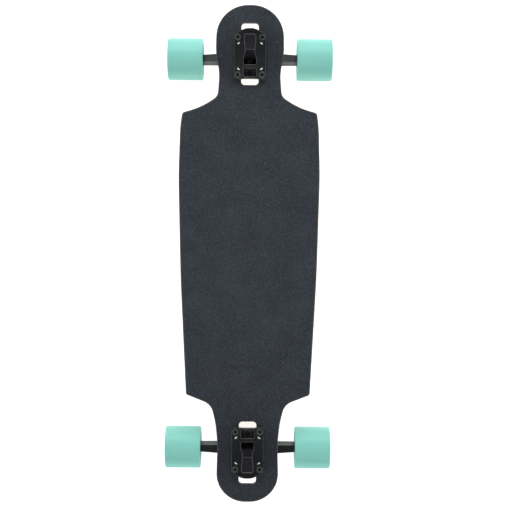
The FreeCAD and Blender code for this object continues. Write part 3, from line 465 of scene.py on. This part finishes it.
def bolt_finish():
    """Black-plated mounting bolts, whose heads are grey in a ring round the socket: partly rubbed, partly painted
    highlight.
    """
    plate = Finish("mounting_bolt_black_zinc", {"Metallic": 0.9})
    across = abs(plate.axis("X")) - BOLT_ACROSS
    along = abs(abs(plate.axis("Y")) - TRUCK_PLACE) - BOLT_ALONG
    reach = (across * across + along * along).root() / BOLT_HEAD_RADIUS
    # A grey ring round each head's socket: partly rubbed wear, partly painted highlight.
    ring = reach.between(*HEAD_RING_INNER_SHARES) * (1 - reach.between(*HEAD_RING_OUTER_SHARES))
    scratch = plate.noise(width=0.0005, detail=3.0)
    body = plate.mixed(scratch, BOLT_DARK, BOLT_LIGHT)
    rubbed_and_highlight = ring * (0.4 + scratch * 0.4)
    colour = plate.mixed(rubbed_and_highlight, body, BOLT_RUBBED_AND_HIGHLIGHT)
    normal = plate.bump(scratch, depth=0.00004, strength=0.5,
                        normal=plate.edge_normal(FINE_EDGE_ROUND))
    return plate.feed({"Base Color": colour, "Roughness": 0.38 + scratch * 0.15,
                       "Normal": normal})


def moulded_finish(name, dark, light, roughness):
    """Moulded plastic: faint flow marks and a fine grained skin."""
    plastic = Finish(name, {"IOR": 1.48})
    flow = plastic.noise(width=0.008, detail=4.0)
    skin = plastic.noise(width=0.0004, detail=2.0)
    colour = plastic.mixed(flow, dark, light)
    normal = plastic.bump(skin, depth=0.00004, strength=0.5,
                          normal=plastic.edge_normal(FINE_EDGE_ROUND))
    return plastic.feed({"Base Color": colour, "Normal": normal,
                         "Roughness": roughness + flow * 0.06 + skin * 0.08})


FINISHES = {
    "deck_wood": deck_finish(),
    "grip": grip_tape_finish(),
    "truck_paint": truck_finish(),
    "urethane": tyre_finish(),
    "bushing": bushing_finish(),
    "black_steel": bolt_finish(),
    "steel": plated_finish(
        "zinc_plated_steel", dark=(0.42, 0.42, 0.41), light=(0.60, 0.60, 0.59),
        worn=(0.72, 0.72, 0.72), roughness=0.26),
    "bearing_steel": plated_finish(
        "bearing_chrome_steel", dark=(0.58, 0.58, 0.60), light=(0.70, 0.70, 0.72),
        worn=(0.80, 0.80, 0.82), roughness=0.10),
    "spacer": plated_finish(
        "turned_aluminium", dark=(0.60, 0.60, 0.62), light=(0.74, 0.74, 0.76),
        worn=(0.82, 0.82, 0.84), roughness=0.24),
    "shield": plated_finish(
        "bearing_shield_steel", dark=(0.36, 0.36, 0.37), light=(0.50, 0.50, 0.51),
        worn=(0.62, 0.62, 0.63), roughness=0.30),
    "core_plastic": moulded_finish(
        "wheel_core_plastic", dark=(0.60, 0.60, 0.57), light=(0.70, 0.70, 0.67), roughness=0.42),
    "pivot_plastic": moulded_finish(
        "pivot_cup_plastic", dark=(0.018, 0.018, 0.020), light=(0.034, 0.034, 0.037),
        roughness=0.40),
    "cage": moulded_finish(
        "ball_cage_plastic", dark=(0.22, 0.125, 0.055), light=(0.32, 0.19, 0.09), roughness=0.45),
}
for subpart in frame["record"]["subparts"]:
    node = nodes[subpart["node"]]
    node.data.materials.clear()
    node.data.materials.append(FINISHES[subpart["material_slot"]])


def unit(rows):
    """Rows scaled to length one."""
    return rows / np.linalg.norm(rows, axis=-1, keepdims=True)


def rounded_loop(corners):
    """Closed profile whose corners (along, radius, rounding) are arcs that touch both sides.

    An arc's centre lies on the corner's bisector, and its points turn evenly between the two
    spokes that meet the sides.
    """
    points, rounding = np.array(corners)[:, :2], np.array(corners)[:, 2:]
    back = unit(np.roll(points, 1, axis=0) - points)
    ahead = unit(np.roll(points, -1, axis=0) - points)
    half = np.arccos((back * ahead).sum(axis=1, keepdims=True)) / 2
    centre = points + unit(back + ahead) * rounding / np.sin(half)
    first = points + back * rounding / np.tan(half) - centre
    last = points + ahead * rounding / np.tan(half) - centre
    turn = (np.pi - 2 * half)[:, None]
    share = np.linspace(0, 1, ARC_POINTS)[None, :, None]
    spokes = np.sin((1 - share) * turn) * first[:, None] + np.sin(share * turn) * last[:, None]
    return (centre[:, None] + spokes / np.sin(turn)).reshape(-1, 2)


def closed_surface(name, grid):
    """Mesh piece from a grid of points that closes on itself both ways, facing outwards."""
    index = np.arange(grid[..., 0].size).reshape(grid.shape[:2])
    across = np.roll(index, -1, axis=1)
    faces = np.stack([index, across, np.roll(across, -1, axis=0), np.roll(index, -1, axis=0)],
                     axis=-1).reshape(-1, 4)
    points = grid.reshape(-1, 3)
    first, second, third, fourth = np.moveaxis(points[faces], 1, 0)
    # Faces that point inwards give a volume below zero.
    if (first * np.cross(second, third) + first * np.cross(third, fourth)).sum() < 0:
        faces = faces[:, ::-1]
    mesh = bpy.data.meshes.new(name)
    mesh.from_pydata(points.tolist(), [], faces.tolist())
    mesh.polygons.foreach_set("use_smooth", np.ones(len(faces), bool))
    piece = bpy.data.objects.new(name, mesh)
    bpy.context.scene.collection.objects.link(piece)
    return piece


def turned(name, profile, centre, axis, steps):
    """Ring-shaped piece: a closed profile of (along, radius) points turned about an axis.

    A point lies at centre + along * axis + radius * (cos t * side + sin t * front).
    """
    axis = np.array(axis, float)
    side = np.array((1.0, 0, 0)) if abs(axis[0]) < 0.5 else np.array((0, 1.0, 0))
    front = np.cross(axis, side)
    turn = np.linspace(0, 2 * np.pi, steps, endpoint=False)[:, None]
    spokes = np.cos(turn) * side + np.sin(turn) * front
    along, radius = profile[:, :1, None], profile[:, 1:, None]
    return closed_surface(name, np.array(centre) + along * axis + radius * spokes)


def turned_sizes(node, centre, axis):
    """A turned node's start and end along its axis, and its least and largest radius."""
    points = np.empty(len(nodes[node].data.vertices) * 3)
    nodes[node].data.vertices.foreach_get("co", points)
    offset = points.reshape(-1, 3) - np.array(centre)
    along = offset @ np.array(axis)
    away = np.linalg.norm(offset - along[:, None] * np.array(axis), axis=1)
    return along.min(), along.max(), away.min(), away.max()


def flat_faces_even(piece):
    """Let large faces set the normals, so that flat stretches stay flat between their arcs."""
    even = piece.modifiers.new("even_normals", "WEIGHTED_NORMAL")
    even.mode = "FACE_AREA"
    even.weight = 100


def kingpin_axis(end):
    """Direction of a truck's kingpin towards the board, square to its steering axis."""
    _, y, z = joints[end + "_steer"]["axis"]
    return (0.0, -math.copysign(z, y), abs(y))


def build_bushing(end, side):
    """Barrel of a bushing: fullest in its middle, rounded where it sits and where it is held."""
    node = f"{end}_{side}_bushing"
    centre, axis = joints[end + "_steer"]["pos_m"], kingpin_axis(end)
    start, stop, bore, radius = turned_sizes(node, centre, axis)
    waist = radius * BUSHING_WAIST_SHARE
    belly = (stop - start) * BUSHING_BELLY_SHARE
    profile = rounded_loop([
        (start, bore, BUSHING_BORE_ROUND), (stop, bore, BUSHING_BORE_ROUND),
        (stop, waist, BUSHING_RIM_ROUND), (stop - belly, radius, BUSHING_BELLY_ROUND),
        (start + belly, radius, BUSHING_BELLY_ROUND), (start, waist, BUSHING_RIM_ROUND)])
    piece = turned(f"{end}_{side}_bushing_barrel", profile, centre, axis, BUSHING_STEPS)
    piece.data.materials.append(FINISHES["bushing"])
    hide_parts(node)
    middle = Vector(centre)
    seat = middle + Vector(axis) * (stop if stop > -start else start)
    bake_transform(piece)


def build_tyre(end, side):
    """Cast tyre: flat tread, round shoulders, lips, and a dished face down to the core."""
    node = f"{end}_{side}_tyre"
    pivot = joints[f"{end}_{side}_spin"]["pos_m"]
    axis = (1.0, 0.0, 0.0)
    start, stop, seat, radius = turned_sizes(node, pivot, axis)
    core_start, core_stop = turned_sizes(f"{end}_{side}_core", pivot, axis)[:2]
    profile = rounded_loop([
        (core_start, seat, CORE_SEAT_ROUND), (start, WHEEL_MOUTH_RADIUS, WHEEL_RIM_ROUND),
        (start, radius, WHEEL_EDGE_ROUND), (stop, radius, WHEEL_EDGE_ROUND),
        (stop, WHEEL_MOUTH_RADIUS, WHEEL_RIM_ROUND), (core_stop, seat, CORE_SEAT_ROUND)])
    piece = turned(f"{end}_{side}_cast_tyre", profile, pivot, axis, WHEEL_STEPS)
    piece.data.materials.append(FINISHES["urethane"])
    flat_faces_even(piece)
    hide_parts(node)
    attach(piece, f"{end}_{side}_wheel")


for end in ENDS:
    for side in ("boardside", "roadside"):
        build_bushing(end, side)
    for side in SIDES:
        build_tyre(end, side)


def soft_light(name, place, target, width, length, watts):
    """Large soft lamp at a place, facing a target."""
    lamp = bpy.data.lights.new(name, "AREA")
    lamp.shape = "RECTANGLE"
    lamp.size = width
    lamp.size_y = length
    lamp.energy = watts
    holder = bpy.data.objects.new(name, lamp)
    holder.location = place
    holder.rotation_euler = (Vector(target) - Vector(place)).to_track_quat("-Z", "Y").to_euler()
    bpy.context.scene.collection.objects.link(holder)


def pale_floor():
    """Wide pale floor under the wheels, with low pale walls far off."""
    signs = ((-1, -1), (1, -1), (1, 1), (-1, 1))
    corners = [(x * FLOOR_REACH, y * FLOOR_REACH, height)
               for height in (0.0, WALL_HEIGHT) for x, y in signs]
    walls = [(i, i + 4, (i + 1) % 4 + 4, (i + 1) % 4) for i in range(4)]
    mesh = bpy.data.meshes.new("pale_floor")
    mesh.from_pydata(corners, [], [(0, 1, 2, 3)] + walls)
    floor = bpy.data.objects.new("pale_floor", mesh)
    bpy.context.scene.collection.objects.link(floor)
    paint = Finish("floor_white", {"Emission Strength": FLOOR_GLOW, "Roughness": 0.9,
                                   "Emission Color": (1, 1, 1, 1)})
    cloud = paint.noise(width=0.4, detail=2.0)
    floor.data.materials.append(paint.feed({
        "Base Color": paint.mixed(cloud, FLOOR_DARK, FLOOR_LIGHT)}))


def photo_camera():
    """Camera straight above the board, turned a little, as in the photograph."""
    lens = bpy.data.cameras.new("photo_camera")
    lens.sensor_width = SENSOR_WIDTH
    lens.lens = SENSOR_WIDTH * FOCAL_PIXELS / PHOTO_SIDE
    camera = bpy.data.objects.new("photo_camera", lens)
    camera.location = CAMERA_PLACE
    camera.rotation_euler = (0, 0, CAMERA_ROLL)
    bpy.context.scene.collection.objects.link(camera)
    bpy.context.scene.camera = camera


def studio():
    """Floor, camera, soft light from the nose, the tail and above, and a dim even surround."""
    pale_floor()
    photo_camera()
    soft_light("nose_light", place=(0.0, 2.5, 1.7), target=(0, 0.2, 0.05),
               width=2.6, length=1.2, watts=56)
    soft_light("tail_light", place=(0.0, -2.0, 2.4), target=(0, -0.2, 0.05),
               width=2.4, length=0.9, watts=25)
    soft_light("overhead_light", place=(0.0, 0.05, 2.9), target=(0, 0.05, 0.05),
               width=2.4, length=1.0, watts=27.5)
    world = bpy.data.worlds.new("studio_surround")
    world.use_nodes = True
    surround = world.node_tree.nodes["Background"]
    surround.inputs["Color"].default_value = (1, 1, 1, 1)
    surround.inputs["Strength"].default_value = SURROUND_STRENGTH
    bpy.context.scene.world = world
    bpy.context.scene.view_settings.view_transform = "Standard"


studio()
